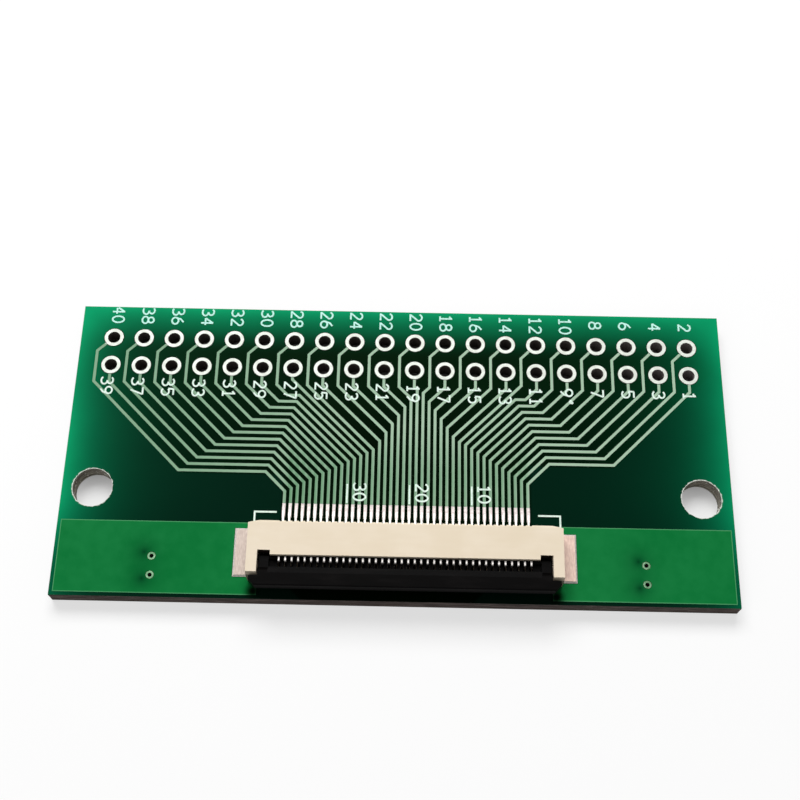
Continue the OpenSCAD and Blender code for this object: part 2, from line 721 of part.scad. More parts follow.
// Solder round a tab: a low bank on its three free sides
module tab_solder() difference() {
    hull() {
        translate([housing_half, -tab_inset - tab_l - tab_solder_w, 0])
            cube([tab_reach + tab_solder_w, tab_l + 2 * tab_solder_w, tab_t / 4]);
        translate([housing_half, -tab_inset - tab_l, 0]) cube([tab_reach, tab_l, tab_t * 3 / 4]);
    }
    translate([leg_inner, -tab_inset - tab_l, -over]) cube([tab_outer - leg_inner, tab_l, 2 * over]);
}
module left_tab_solder() color("lightgray") at_socket() mirror([1, 0, 0]) tab_solder();
module right_tab_solder() color("lightgray") at_socket() tab_solder();

laminate_core();
top_solder_mask();
underside_solder_mask();
header_holes_odd_row();
header_holes_even_row();
odd_pin_traces();
even_pin_traces();
odd_pin_underside_traces();
even_pin_underside_traces();
left_pour();
right_pour();
left_underside_pour();
right_underside_pour();
left_stitch_vias();
right_stitch_vias();
socket_housing();
lock_lever();
contacts();
left_solder_tab();
right_solder_tab();
contact_solder();
left_tab_solder();
right_tab_solder();
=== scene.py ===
import math

import bmesh
import bpy
from mathutils import Matrix, Vector


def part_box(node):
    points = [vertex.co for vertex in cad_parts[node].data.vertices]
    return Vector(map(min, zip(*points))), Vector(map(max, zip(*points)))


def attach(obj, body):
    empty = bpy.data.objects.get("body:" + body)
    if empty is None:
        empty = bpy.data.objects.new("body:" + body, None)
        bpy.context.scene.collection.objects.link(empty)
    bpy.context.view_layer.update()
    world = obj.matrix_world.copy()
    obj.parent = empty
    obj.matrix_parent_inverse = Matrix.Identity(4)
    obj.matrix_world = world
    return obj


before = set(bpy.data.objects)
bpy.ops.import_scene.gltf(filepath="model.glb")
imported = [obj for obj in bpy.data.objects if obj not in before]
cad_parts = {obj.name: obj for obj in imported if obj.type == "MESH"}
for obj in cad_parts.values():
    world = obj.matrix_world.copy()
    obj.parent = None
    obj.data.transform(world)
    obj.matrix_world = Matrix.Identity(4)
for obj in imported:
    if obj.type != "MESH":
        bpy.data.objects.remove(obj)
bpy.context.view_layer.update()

mm = 0.001
print("frame loaded,", len(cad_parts), "nodes")


class Wire:  # a socket that can be used in plain arithmetic
    def __init__(self, tree, socket=None):
        self.tree = tree
        self.socket = socket

    def add(self, kind, settings=None, values=None, outlet=0):
        node = self.tree.nodes.new(kind)
        for name, value in (settings or {}).items():
            setattr(node, name, value)
        for name, value in (values or {}).items():
            if isinstance(value, Wire):
                self.tree.links.new(value.socket, node.inputs[name])
            else:
                node.inputs[name].default_value = value
        return Wire(self.tree, node.outputs[outlet] if node.outputs else None)

    def calc(self, operation, first, second=0.0):
        return self.add("ShaderNodeMath", {"operation": operation}, {0: first, 1: second})

    def __add__(self, other):
        return self.calc("ADD", self, other)

    def __radd__(self, other):
        return self.calc("ADD", other, self)

    def __sub__(self, other):
        return self.calc("SUBTRACT", self, other)

    def __rsub__(self, other):
        return self.calc("SUBTRACT", other, self)

    def __mul__(self, other):
        return self.calc("MULTIPLY", self, other)

    def __rmul__(self, other):
        return self.calc("MULTIPLY", other, self)

    def __abs__(self):
        return self.calc("ABSOLUTE", self)

    def least(self, other):
        return self.calc("MINIMUM", self, other)

    def most(self, other):
        return self.calc("MAXIMUM", self, other)

    def rise(self, low, high):  # 0 at low, 1 at high, smooth between them
        spans = {"Value": self, "From Min": low, "From Max": high}
        return self.add("ShaderNodeMapRange", {"interpolation_type": "SMOOTHSTEP"}, spans)

    def fade(self, reach):  # 1 at zero, dying away over the reach
        return self.calc("EXPONENT", self * (-1 / reach))

    def mix(self, first, second):  # the wire is the share of the second colour
        return self.add("ShaderNodeMix", {"data_type": "RGBA"}, {0: self, 6: first, 7: second}, 2)

    def spot(self, stretch=(1, 1, 1)):  # place on the piece, in metres
        place = self.add("ShaderNodeTexCoord", outlet="Object")
        return self.add("ShaderNodeMapping", {}, {"Vector": place, "Scale": stretch})

    def axes(self):
        place = self.add("ShaderNodeTexCoord", outlet="Object")
        parts = self.add("ShaderNodeSeparateXYZ", {}, {"Vector": place}).socket.node
        return [Wire(self.tree, outlet) for outlet in parts.outputs]

    def grain(self, size, detail=3.0, stretch=(1, 1, 1)):  # cloudy noise with features of that size
        values = {"Vector": self.spot(stretch), "Scale": 1 / size, "Detail": detail}
        return self.add("ShaderNodeTexNoise", {}, values)

    def bump(self, height, depth, strength=1.0):
        return self.add("ShaderNodeBump", {}, {"Height": height, "Distance": depth, "Strength": strength})

    def finish(self, values):
        shader = self.add("ShaderNodeBsdfPrincipled", {}, values)
        self.add("ShaderNodeOutputMaterial", {}, {"Surface": shader})


def newMaterial(name):
    material = bpy.data.materials.new(name)
    material.use_nodes = True
    material.node_tree.nodes.clear()
    return material, Wire(material.node_tree)


def dress(material, *names):
    for name in names:
        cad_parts[name].data.materials.clear()
        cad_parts[name].data.materials.append(material)


# places on the board that several finishes follow
boardLow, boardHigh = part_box("laminate_core")
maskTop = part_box("top_solder_mask")[1].z
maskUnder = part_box("underside_solder_mask")[0].z
socketX = 0.77 * mm
padPitch = 0.5 * mm
firstPadX = 10.52 * mm
headerPitch = 2.54 * mm
firstHole = (24.13 * mm, 7.16 * mm)
mountHole = (24.45 * mm, -3.7 * mm)
noiseSpan = (0.35, 0.65)  # most of the noise lies between these

# solder mask: deep green, paler over the copper; near the edges a painted glow stands in for light coming
# through the laminate, and the traces carry painted highlights and painted shade
maskLook = {
    "deep": (0.0008, 0.0128, 0.0065, 1),
    "rows": (0.0007, 0.0095, 0.0018, 1),
    "fan": (0.0002, 0.0036, 0.0004, 1),
    # edge: the painted glow colour of the bare mask near the board's edges
    "edge": (0.0035, 0.335, 0.135, 1),
    "trace": (0.16, 0.33, 0.19, 1),
    "traceHighlight": (0.41, 0.57, 0.42, 1),
    "pour": (0.0042, 0.165, 0.036, 1),
    "pourLight": (0.0095, 0.2, 0.05, 1),
    "pourRimThinAndLit": (0.13, 0.42, 0.2, 1),
    "viaPatch": (0.001, 0.05, 0.014, 1),
    "cloud": 6 * mm,
    "streak": 0.9 * mm,
    "ripple": 0.5 * mm,
    "rippleDepth": 0.004 * mm,
    "sideReach": 1.75 * mm,
    "farReach": 6 * mm,
    "farShare": 0.12,
    "sideGlowLevel": {"front": 0.3, "behindPours": 0.45, "leftFront": 0.2, "atBack": 0.3},
    "backReach": 1.55 * mm,
    "backEnd": (1.8 * mm, 4.4 * mm),
    "backGlowLevel": 0.98,
    "behindPours": (boardLow.y + 2 * mm, boardLow.y + 9 * mm),
    "eastward": (-20 * mm, 2 * mm),
    "leftFront": (2 * mm, 6 * mm),
    "atBack": (6 * mm, boardHigh.y),
    "fanFoot": (0, 7 * mm),
    "fanEdge": 0.15 * mm,
    "behindPads": (-2.5 * mm, 2.5 * mm),
    "padsEnd": 0.5 * mm,
    "besidePad": (0.5, 0.62),
    "traceHighlightLevel": {"least": 0.2, "eastward": 0.6, "streak": 0.25, "nearPads": -0.65, "besidePad": 0.25},
    "pourEdge": 0.05 * mm,
    "rimWidth": 0.07 * mm,
    "viaPatchReach": 0.6 * mm,
    "step": 0.012 * mm,
    "fanLeft": {"end": -9.2 * mm, "foot": -2.3 * mm, "slope": 19.9 * mm},
    "fanRight": {"end": 10.75 * mm, "foot": -1.2 * mm, "slope": 18.7 * mm},
    "holeRadius": 1.6 * mm,
    "chip": 0.11 * mm,
    "chipLeast": 0.02 * mm,
    "chipGrain": 0.25 * mm,
    "chipped": (0.86, 0.88, 0.82, 1),
    "leverShade": (0.0004, 0.003, 0.0008, 1),
    "leverReach": (0.1 * mm, 0.85 * mm),
    "leverInset": 0.2 * mm,
}


def insideBox(x, y, low, high):
    return (x - low.x).least(high.x - x).least(y - low.y).least(high.y - y)


def distance(wire, x, y, place):
    dx, dy = x - place[0], y - place[1]
    return wire.calc("SQRT", dx * dx + dy * dy)


def inPitch(wire, along, first, pitch):  # runs from 0 to 1 over each pitch, 0.5 at each place of the row
    return wire.calc("FRACT", (along - first) * (1 / pitch) + 0.5)


def insideFan(x, y):  # above 0 between the outermost traces
    left, right = maskLook["fanLeft"], maskLook["fanRight"]
    foot = (y - left["foot"]).most(x - left["end"]).least((y - right["foot"]).most(right["end"] - x))
    return foot.least(x + y + left["slope"]).least(y - x + right["slope"])


def makeSolderMask(name, pourNames, viaNames, copperLevel, upward):
    look = maskLook
    material, wire = newMaterial(name)
    x, y, z = wire.axes()
    raised = (z * upward).rise(copperLevel * upward - look["step"], copperLevel * upward - look["step"] / 4)
    left, right = [insideBox(x, y, *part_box(pour)) for pour in pourNames]
    inPour = left.most(right)
    pourShare = inPour.rise(-look["pourEdge"], 0)
    rim = pourShare - inPour.rise(look["rimWidth"] / 2, look["rimWidth"])
    cloud = wire.grain(look["cloud"])
    streak = wire.grain(look["streak"])
    # painted glow: the bare mask is lighter near the sides and back of the board, standing in for light
    # coming through the laminate
    inward = boardHigh.x - abs(x)
    behindPours = y.rise(*look["behindPours"])
    eastward = x.rise(*look["eastward"])
    leftFront = (1 - eastward) * (1 - y.rise(*look["leftFront"]))
    level = look["sideGlowLevel"]
    behind = (level["behindPours"] + level["leftFront"] * leftFront) * behindPours
    sideGlowLevel = level["front"] + behind + level["atBack"] * y.rise(*look["atBack"])
    nearSide = (1 - look["farShare"]) * inward.fade(look["sideReach"])
    side = (nearSide + look["farShare"] * inward.fade(look["farReach"])) * sideGlowLevel
    fromBack = boardHigh.y - y
    back = look["backGlowLevel"] * fromBack.fade(look["backReach"]) * (1 - fromBack.rise(*look["backEnd"]))
    paintedGlow = (1 - (1 - side) * (1 - back)) * (0.75 + 0.5 * cloud)
    fan = y.rise(*look["fanFoot"]).mix(look["fan"], look["rows"])
    if upward > 0:
        fan = insideFan(x, y).rise(-look["fanEdge"], look["fanEdge"]).mix(look["deep"], fan)
    bare = paintedGlow.mix(fan, look["edge"])
    pour = (0.6 * cloud + 0.4 * streak).rise(0.3, 0.7).mix(look["pour"], look["pourLight"])
    # a darker patch of mask colour to the left of each via
    for via in viaNames:
        low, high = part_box(via)
        viaPatchX = (low.x + high.x) / 2 - look["viaPatchReach"]
        for end in (low.y, high.y):
            viaPatch = distance(wire, x, y, (viaPatchX, end)).fade(look["viaPatchReach"])
            pour = viaPatch.mix(pour, look["viaPatch"])
    # pale line along each pour's edge: partly thinner mask over the copper's edge, partly a painted highlight
    pour = (rim * 0.5).mix(pour, look["pourRimThinAndLit"])
    # painted highlight and painted shade on the traces: lighter towards +X and on the +X side of each pad,
    # darker near the pads
    across = inPitch(wire, x, firstPadX, padPitch)
    overPads = (x - look["fanLeft"]["end"]).least(look["fanRight"]["end"] - x).rise(0, look["padsEnd"])
    nearPads = overPads * (1 - y.rise(*look["behindPads"]))
    level = look["traceHighlightLevel"]
    padShade = level["besidePad"] * across.rise(*look["besidePad"]) + level["nearPads"]
    light = level["least"] + level["eastward"] * eastward + level["streak"] * streak + nearPads * padShade
    trace = light.most(0).mix(look["trace"], look["traceHighlight"])
    copper = pourShare.mix(trace, pour)
    colour = raised.mix(bare, copper)
    ragged = wire.grain(look["chipGrain"]).rise(0.3, 0.65)
    past = distance(wire, abs(x), y, mountHole) - look["holeRadius"]
    chips = 1 - past.rise(0, look["chipLeast"] + look["chip"] * ragged)
    colour = chips.mix(colour, look["chipped"])
    # painted shadow on the mask beside the lever's two front corners
    if upward > 0:
        leverLow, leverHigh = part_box("lock_lever")
        leverEnd = (leverHigh.x - socketX - look["leverInset"], leverLow.y)
        beside = distance(wire, abs(x - socketX), y, leverEnd)
        colour = (1 - beside.rise(*look["leverReach"])).mix(colour, look["leverShade"])
    ripple = wire.bump(wire.grain(look["ripple"]), look["rippleDepth"], 0.5)
    wire.finish({
        "Base Color": colour,
        "Roughness": 0.22 + 0.12 * streak,
        "Specular IOR Level": 0.004,
        "Normal": ripple,
    })
    return material


stitchVias = ("left_stitch_vias", "right_stitch_vias")
topPours = ("left_pour", "right_pour")
underPours = ("left_underside_pour", "right_underside_pour")
dress(makeSolderMask("solderMaskTop", topPours, stitchVias, maskTop, 1), "top_solder_mask")
dress(makeSolderMask("solderMaskUnder", underPours, stitchVias, maskUnder, -1), "underside_solder_mask")

# laminate: sawn glass cloth and resin, paler on the drilled walls, near black with painted shade where it
# shows beside the pads
laminateLook = {
    "resin": (0.075, 0.058, 0.052, 1),
    "glass": (0.26, 0.205, 0.185, 1),
    "drilled": (0.55, 0.52, 0.45, 1),
    "drilledDark": (0.2, 0.18, 0.15, 1),
    "face": (0.004, 0.008, 0.005, 1),
    "sides": (0.025, 0.032, 0.024, 1),
    "rim": (0.9, 0.9, 0.84, 1),
    "sideShare": 0.8,
    "ply": 0.2 * mm,
    "plyStretch": (0.12, 0.12, 1.2),
    "speck": 0.07 * mm,
    "bumpDepth": 0.02 * mm,
    "holeReach": (1.75 * mm, 1.85 * mm),
    "rimDepth": 0.16 * mm,
    "rimGrain": 0.3 * mm,
    "sideSkin": 0.01 * mm,
    "faceSkin": 0.0005 * mm,
}


def makeLaminate():
    look = laminateLook
    material, wire = newMaterial("laminateEdge")
    x, y, z = wire.axes()
    threads = wire.grain(look["ply"], 4, look["plyStretch"])
    specks = wire.grain(look["speck"], 2)
    weave = (0.75 * threads + 0.25 * specks).rise(0.42, 0.68)
    reach = distance(wire, abs(x), y, mountHole)
    drilled = 1 - reach.rise(*look["holeReach"])
    onSides = abs(x).rise(boardHigh.x - 2 * look["sideSkin"], boardHigh.x - look["sideSkin"])
    sawn = (look["sideShare"] * onSides).mix(weave.mix(look["resin"], look["glass"]), look["sides"])
    wall = (0.65 * threads + 0.35 * specks).rise(0.4, 0.62).mix(look["drilledDark"], look["drilled"])
    depth = (boardHigh.z - z).least(z - boardLow.z)
    ragged = wire.grain(look["rimGrain"])
    wall = (1 - depth.rise(0, look["rimDepth"] * ragged.rise(0.35, 0.7))).mix(wall, look["rim"])
    # painted shade on the laminate's faces where they show beside the pads
    onFace = 1 - depth.rise(look["faceSkin"], 2 * look["faceSkin"])
    wire.finish({
        "Base Color": (onFace * (1 - drilled)).mix(drilled.mix(sawn, wall), look["face"]),
        "Roughness": 0.75 + 0.15 * specks,
        "Specular IOR Level": 0.1,
        "Normal": wire.bump(weave, look["bumpDepth"]),
    })
    return material


dress(makeLaminate(), "laminate_core")

# tin on the rings; dull plating with painted shade inside the barrels, and painted light and shade on the
# header rings
tinLook = {
    "header": {
        "bright": (0.7, 0.745, 0.68, 1), "dull": (0.61, 0.64, 0.575, 1), "metallic": 0.08, "paintedLightAndShade": True,
    },
    "via": {
        "bright": (0.16, 0.28, 0.17, 1), "dull": (0.08, 0.18, 0.09, 1), "metallic": 0.5, "paintedLightAndShade": False,
    },
    "flow": 0.35 * mm,
    "bumpDepth": 0.03 * mm,
    "barrel": (0.1, 0.088, 0.076, 1),
    "litBarrel": (0.25, 0.23, 0.22, 1),
    "litFrom": (8 * mm, 24 * mm),
    "rimDepth": 0.008 * mm,
    "rim": (0.012, 0.03, 0.014, 1),
    "innerShadeRadius": 0.53 * mm,
    "outerShadeRadius": 0.785 * mm,
    "rimBlend": 0.02 * mm,
}


def fromHole(wire, x, y):  # distance from the middle of the nearest header hole
    near = [
        inPitch(wire, along, first, headerPitch) * headerPitch
        for along, first in zip((x, y), firstHole)
    ]
    return distance(wire, *near, (headerPitch / 2, headerPitch / 2))


def makeTinRing(name, bright, dull, metallic, paintedLightAndShade):
    look = tinLook
    material, wire = newMaterial(name)
    x, y, z = wire.axes()
    shallow = (maskTop - z).least(z - maskUnder)
    barrel = shallow.rise(look["rimDepth"], 3 * look["rimDepth"])
    flow = wire.grain(look["flow"])
    tin = flow.rise(*noiseSpan).mix(bright, dull)
    # the dark inside of the barrels is painted shade on dull plating; on the header rings the barrels also
    # get painted light towards +X, painted shade over each ring's inner edge and a painted dark rim at its
    # outer edge
    inside = look["barrel"]
    if paintedLightAndShade:
        inside = x.rise(*look["litFrom"]).mix(look["barrel"], look["litBarrel"])
        reach = fromHole(wire, x, y)
        barrel = barrel.most(1 - reach.rise(look["innerShadeRadius"] - look["rimBlend"], look["innerShadeRadius"]))
        tin = reach.rise(look["outerShadeRadius"], look["outerShadeRadius"] + look["rimBlend"]).mix(tin, look["rim"])
    wire.finish({
        "Base Color": barrel.mix(tin, inside),
        "Roughness": 0.3 + 0.2 * flow + 0.25 * barrel,
        "Metallic": metallic * (1 - barrel),
        "Specular IOR Level": 0.2,
        "Normal": wire.bump(flow, look["bumpDepth"], 0.4),
    })
    return material


dress(makeTinRing("headerRing", **tinLook["header"]), "header_holes_odd_row", "header_holes_even_row")
dress(makeTinRing("viaRing", **tinLook["via"]), *stitchVias)

# copper, solder and the tabs that hold the socket
metalLook = {
    "tinnedCopper": {
        "light": (0.8, 0.75, 0.73, 1), "dark": (0.66, 0.58, 0.56, 1), "metallic": 0.15,
        "roughness": 0.36, "flow": 0.2 * mm, "depth": 0.02 * mm,
    },
    "coveredCopper": {
        "light": (0.03, 0.06, 0.028, 1), "dark": (0.02, 0.045, 0.02, 1), "metallic": 0.8,
        "roughness": 0.4, "flow": 0.2 * mm, "depth": 0.02 * mm,
    },
    "solder": {
        "light": (0.76, 0.7, 0.68, 1), "dark": (0.6, 0.53, 0.51, 1), "metallic": 0.15,
        "roughness": 0.32, "flow": 0.16 * mm, "depth": 0.03 * mm,
    },
    "leftTab": {
        "light": (0.5, 0.42, 0.37, 1), "dark": (0.42, 0.34, 0.3, 1), "metallic": 0.3,
        "roughness": 0.42, "flow": 0.25 * mm, "depth": 0.02 * mm, "stretch": (3, 0.6, 1),
    },
    "rightTab": {
        "light": (0.68, 0.51, 0.43, 1), "dark": (0.57, 0.41, 0.35, 1), "metallic": 0.3,
        "roughness": 0.42, "flow": 0.25 * mm, "depth": 0.02 * mm, "stretch": (3, 0.6, 1),
    },
}


def makeMetal(name, light, dark, metallic, roughness, flow, depth, stretch=(1, 1, 1)):
    material, wire = newMaterial(name)
    patches = wire.grain(flow, 3, stretch)
    wire.finish({
        "Base Color": patches.rise(*noiseSpan).mix(light, dark),
        "Roughness": roughness + 0.2 * patches,
        "Metallic": metallic,
        "Specular IOR Level": 0.2,
        "Normal": wire.bump(patches, depth, 0.5),
    })
    return material


metals = {name: makeMetal(name, **values) for name, values in metalLook.items()}
dress(
    metals["tinnedCopper"],
    "odd_pin_traces", "even_pin_traces", "odd_pin_underside_traces", "even_pin_underside_traces",
    *underPours,
)
dress(metals["coveredCopper"], *topPours)
dress(metals["solder"], "contact_solder", "left_tab_solder", "right_tab_solder")
dress(metals["leftTab"], "left_solder_tab")
dress(metals["rightTab"], "right_solder_tab")

# contacts: tinned, with painted shade where they lie in the socket, apart from narrow strips on the tops of
# the hooks
contactLook = {
    "light": (0.78, 0.75, 0.72, 1),
    "dark": (0.68, 0.64, 0.61, 1),
    "shade": (0.012, 0.009, 0.008, 1),
    "flow": 0.08 * mm,
    "bumpDepth": 0.006 * mm,
    "roofFront": -9.6 * mm,
    "roofShade": 0.1 * mm,
    "hookTop": 3.32 * mm,
    "noseHeight": 0.3 * mm,
    "tipHalf": (0.05 * mm, 0.085 * mm),
}


def makeContactMetal():
    look = contactLook
    material, wire = newMaterial("contactMetal")
    x, y, z = wire.axes()
    flow = wire.grain(look["flow"])
    front, reach = look["roofFront"], look["roofShade"]
    inSocket = 1 - y.rise(front, front + reach)
    onHook = z.rise(look["hookTop"] - look["noseHeight"], look["hookTop"] - look["noseHeight"] / 2)
    clear = 1 - y.rise(front - reach, front - reach / 2)
    across = abs(inPitch(wire, x, firstPadX, padPitch) - 0.5) * padPitch
    onTip = 1 - across.rise(*look["tipHalf"])
    shade = inSocket * (1 - onHook * clear * onTip)
    wire.finish({
        "Base Color": shade.mix(flow.rise(*noiseSpan).mix(look["light"], look["dark"]), look["shade"]),
        "Roughness": 0.3 + 0.2 * flow + 0.3 * shade,
        "Metallic": 0.4 * (1 - shade),
        "Specular IOR Level": 0.2,
        "Normal": wire.bump(flow, look["bumpDepth"], 0.5),
    })
    return material


dress(makeContactMetal(), "contacts")

# moulded plastics
housingLook = {
    "cream": (0.80, 0.685, 0.52, 1),
    "pale": (0.85, 0.74, 0.585, 1),
    "cloud": 3 * mm,
    "speck": 0.06 * mm,
    "flow": 0.5 * mm,
    "flowStretch": (0.25, 1, 1),
    "bumpDepth": 0.004 * mm,
    "shade": (0.012, 0.007, 0.005, 1),
    "notch": (10.43 * mm, 11.4 * mm),
    "notchBack": -9.26 * mm,
    "notchFront": -9.6 * mm,
    "notchFade": 0.3 * mm,
    "armFront": -11.16 * mm,
    "edge": 0.01 * mm,
    "frontReach": (0, 0.14 * mm),
    "frontShade": 0.7,
}
leverLook = {
    "black": (0.0012, 0.001, 0.001, 1),
    "worn": (0.0042, 0.0036, 0.0036, 1),
    "speck": 0.05 * mm,
    "wipe": 0.7 * mm,
    "wipeStretch": (0.2, 1, 1),
    "bumpDepth": 0.004 * mm,
}


def makeHousingPlastic():
    look = housingLook
    material, wire = newMaterial("housingPlastic")
    cloud = wire.grain(look["cloud"], 2)
    speck = wire.grain(look["speck"], 2)
    flow = wire.grain(look["flow"], 3, look["flowStretch"])
    cream = (0.7 * cloud + 0.3 * flow).rise(0.3, 0.7).mix(look["cream"], look["pale"])
    x, y, z = wire.axes()
    # painted shade in the notches between the roof's front and the notch's rear wall, and on the arms' front
    # faces below the top edge
    outward = abs(x - socketX)
    inNotch = (outward - look["notch"][0]).least(look["notch"][1] - outward).rise(0, look["edge"])
    underRoof = y.rise(look["notchFront"] - look["notchFade"], look["notchFront"])
    deep = inNotch * (1 - y.rise(look["notchBack"], look["notchBack"] + look["edge"])) * underRoof
    below = (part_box("socket_housing")[1].z - z).rise(*look["frontReach"])
    onFront = (1 - y.rise(look["armFront"] + look["edge"], look["armFront"] + 2 * look["edge"])) * below
    wire.finish({
        "Base Color": deep.most(look["frontShade"] * onFront).mix(cream, look["shade"]),
        "Roughness": 0.45 + 0.2 * speck,
        "Specular IOR Level": 0.2,
        "Normal": wire.bump(speck, look["bumpDepth"], 0.6),
    })
    return material


def makeLeverPlastic():
    look = leverLook
    material, wire = newMaterial("leverPlastic")
    speck = wire.grain(look["speck"], 2)
    wipe = wire.grain(look["wipe"], 3, look["wipeStretch"])
    wire.finish({
        "Base Color": wipe.rise(0.45, 0.8).mix(look["black"], look["worn"]),
        "Roughness": 0.36 + 0.2 * speck,
        "Specular IOR Level": 0.022,
        "Normal": wire.bump(speck, look["bumpDepth"], 0.6),
    })
    return material


dress(makeHousingPlastic(), "socket_housing")
dress(makeLeverPlastic(), "lock_lever")
print("materials done")

# white print: pin numbers, a pointer and the marks beside the socket
printLook = {
    "capHeight": 0.98 * mm,
    "digitWidth": 0.64 * mm,
    "digitStep": 0.86 * mm,
    "stroke": 0.145 * mm,
    "rise": 0.012 * mm,
    "sink": 0.025 * mm,
    "strokeLift": 0.0006 * mm,
    "liftLevels": 7,
    "joinGap": 0.001 * mm,
    "margin": 0.1 * mm,
    "halfTurnSteps": 8,
    "wear": 0.12 * mm,
    "bumpDepth": 0.01 * mm,
    "backSpan": (9 * mm, 11 * mm),
    "dull": (0.58, 0.76, 0.64, 1),
    "bright": (0.8, 0.93, 0.85, 1),
    "glowDull": (0.4, 0.74, 0.64, 1),
    "glowBright": (0.56, 0.93, 0.83, 1),
}


def arc(cx, cy, rx, ry, start, end):
    steps = max(2, round(abs(end - start) / 180 * printLook["halfTurnSteps"]))
    turns = [math.radians(start + (end - start) * i / steps) for i in range(steps + 1)]
    return [(cx + rx * math.cos(t), cy + ry * math.sin(t)) for t in turns]


# strokes of each digit in a box one unit wide and one high, parted at sharp corners
digitStrokes = {
    "0": [arc(0.5, 0.5, 0.46, 0.5, 90, 450)],
    "1": [[(0.55, 1.05), (0.55, -0.05)], [(0.22, 0.8), (0.55, 0.97)], [(0.2, 0), (0.9, 0)]],
    "2": [arc(0.5, 0.74, 0.46, 0.26, 170, -40), [(0.87, 0.6), (0.08, 0.02)], [(0, 0), (1, 0)]],
    "3": [arc(0.45, 0.76, 0.45, 0.24, 150, -90), arc(0.45, 0.26, 0.53, 0.26, 90, -150)],
    "4": [[(0.72, -0.05), (0.72, 1)], [(0.72, 0.98), (0.02, 0.33)], [(0, 0.32), (1, 0.32)]],
    "5": [[(0.95, 1), (0.1, 1)], [(0.13, 1), (0.07, 0.54)], arc(0.48, 0.32, 0.5, 0.32, 135, -140)],
    "6": [arc(0.5, 0.28, 0.48, 0.28, 0, 360), [(0.04, 0.33), (0.25, 0.75), (0.7, 1)]],
    "7": [[(0, 1), (1, 1)], [(0.97, 1), (0.35, -0.03)]],
    "8": [arc(0.5, 0.76, 0.4, 0.24, 90, 450), arc(0.5, 0.26, 0.5, 0.26, 90, 450)],
    "9": [arc(0.5, 0.72, 0.48, 0.28, 180, 540), [(0.96, 0.67), (0.75, 0.25), (0.3, 0)]],
}


def drawStroke(bm, points):
    # strokes differ a little in height, so that crossing ones seldom share a plane
    look = printLook
    lift = look["strokeLift"] * (len(bm.verts) % look["liftLevels"])
    verts = [bm.verts.new((px, py, lift)) for px, py in points]
    closed = (verts[0].co - verts[-1].co).length < look["joinGap"]
    if closed:
        bm.verts.remove(verts.pop())
        verts.append(verts[0])
    for first, second in zip(verts, verts[1:]):
        bm.edges.new((first, second))


def drawNumber(bm, text, centreX, startY):
    # read from the right-hand side: each digit's top points along +X and the row runs along -Y
    look = printLook
    for i, digit in enumerate(text):
        for stroke in digitStrokes[digit]:
            drawStroke(bm, [
                (
                    centreX + (v - 0.5) * look["capHeight"],
                    startY - i * look["digitStep"] - u * look["digitWidth"],
                )
                for u, v in stroke
            ])


def makeInk():  # thin ink; near the back edge it is tinted by a painted green glow, like the mask beside it
    look = printLook
    material, wire = newMaterial("whitePrint")
    y = wire.axes()[1]
    wear = wire.grain(look["wear"])
    worn = wear.rise(0.3, 0.6)
    nearBackGlow = y.rise(*look["backSpan"])
    wire.finish({
        "Base Color": nearBackGlow.mix(
            worn.mix(look["dull"], look["bright"]), worn.mix(look["glowDull"], look["glowBright"]),
        ),
        "Roughness": 0.5 + 0.2 * wear,
        "Specular IOR Level": 0.3,
        "Normal": wire.bump(wear, look["bumpDepth"], 0.5),
    })
    return material


whitePrint = makeInk()


def makePrint(name, draw):
    look = printLook
    bm = bmesh.new()
    draw(bm)
    backEdge = (0, boardHigh.y - look["margin"], 0)
    parts = bm.verts[:] + bm.edges[:]
    bmesh.ops.bisect_plane(bm, geom=parts, plane_co=backEdge, plane_no=(0, 1, 0), clear_outer=True)
    walls = bmesh.ops.extrude_edge_only(bm, edges=bm.edges[:])
    tops = [v for v in walls["geom"] if isinstance(v, bmesh.types.BMVert)]
    bmesh.ops.translate(bm, verts=bm.verts[:], vec=(0, 0, maskTop - look["sink"]))
    bmesh.ops.translate(bm, verts=tops, vec=(0, 0, look["sink"] + look["rise"]))
    mesh = bpy.data.meshes.new(name)
    bm.to_mesh(mesh)
    bm.free()
    piece = bpy.data.objects.new(name, mesh)
    bpy.context.scene.collection.objects.link(piece)
    thick = piece.modifiers.new("stroke", "SOLIDIFY")
    thick.thickness = look["stroke"]
    thick.offset = 0
    thick.use_even_offset = True
    mesh.materials.append(whitePrint)
    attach(piece, "board")


headerPrint = {
    "pinCount": 40,
    "tilt": -0.0068,
    "even": {"start": 12.42 * mm, "oneStart": 12.1 * mm, "shift": 0.06 * mm, "drift": -0.005},
    "odd": {"start": 5.84 * mm, "oneStart": 5.8 * mm, "shift": -0.1 * mm, "drift": 0.002},
    "pointer": ((14.22 * mm, 4.72 * mm), (14.4 * mm, 4.41 * mm), (14.12 * mm, 4.5 * mm)),
}


def drawHeaderRow(bm, row, firstPin):
    look = headerPrint
    place = look[row]
    for pin in range(firstPin, look["pinCount"] + 1, 2):
        text = str(pin)
        column = firstHole[0] - headerPitch * ((pin - 1) // 2)
        start = place["start" if len(text) > 1 else "oneStart"]
        drawNumber(bm, text, column + place["shift"] + place["drift"] * column, start + look["tilt"] * column)


def drawOddRow(bm):
    drawHeaderRow(bm, "odd", 1)
    corners = headerPrint["pointer"]
    for i, corner in enumerate(corners):
        drawStroke(bm, [corner, corners[i - 1]])


makePrint("even_row_numbers", lambda bm: drawHeaderRow(bm, "even", 2))
makePrint("odd_row_numbers", drawOddRow)

socketPrint = {
    "counts": (10, 20, 30),
    "numberShift": 1 * mm,
    "numberStart": -2.91 * mm,
    "tickStart": -3.02 * mm,
    "tickEnd": -4.62 * mm,
    "leftCorner": (-11.27 * mm, -5.5 * mm),
    "rightCorner": (13.05 * mm, -5.4 * mm),
    "armLength": 1.75 * mm,
    "legEnd": -7 * mm,
}


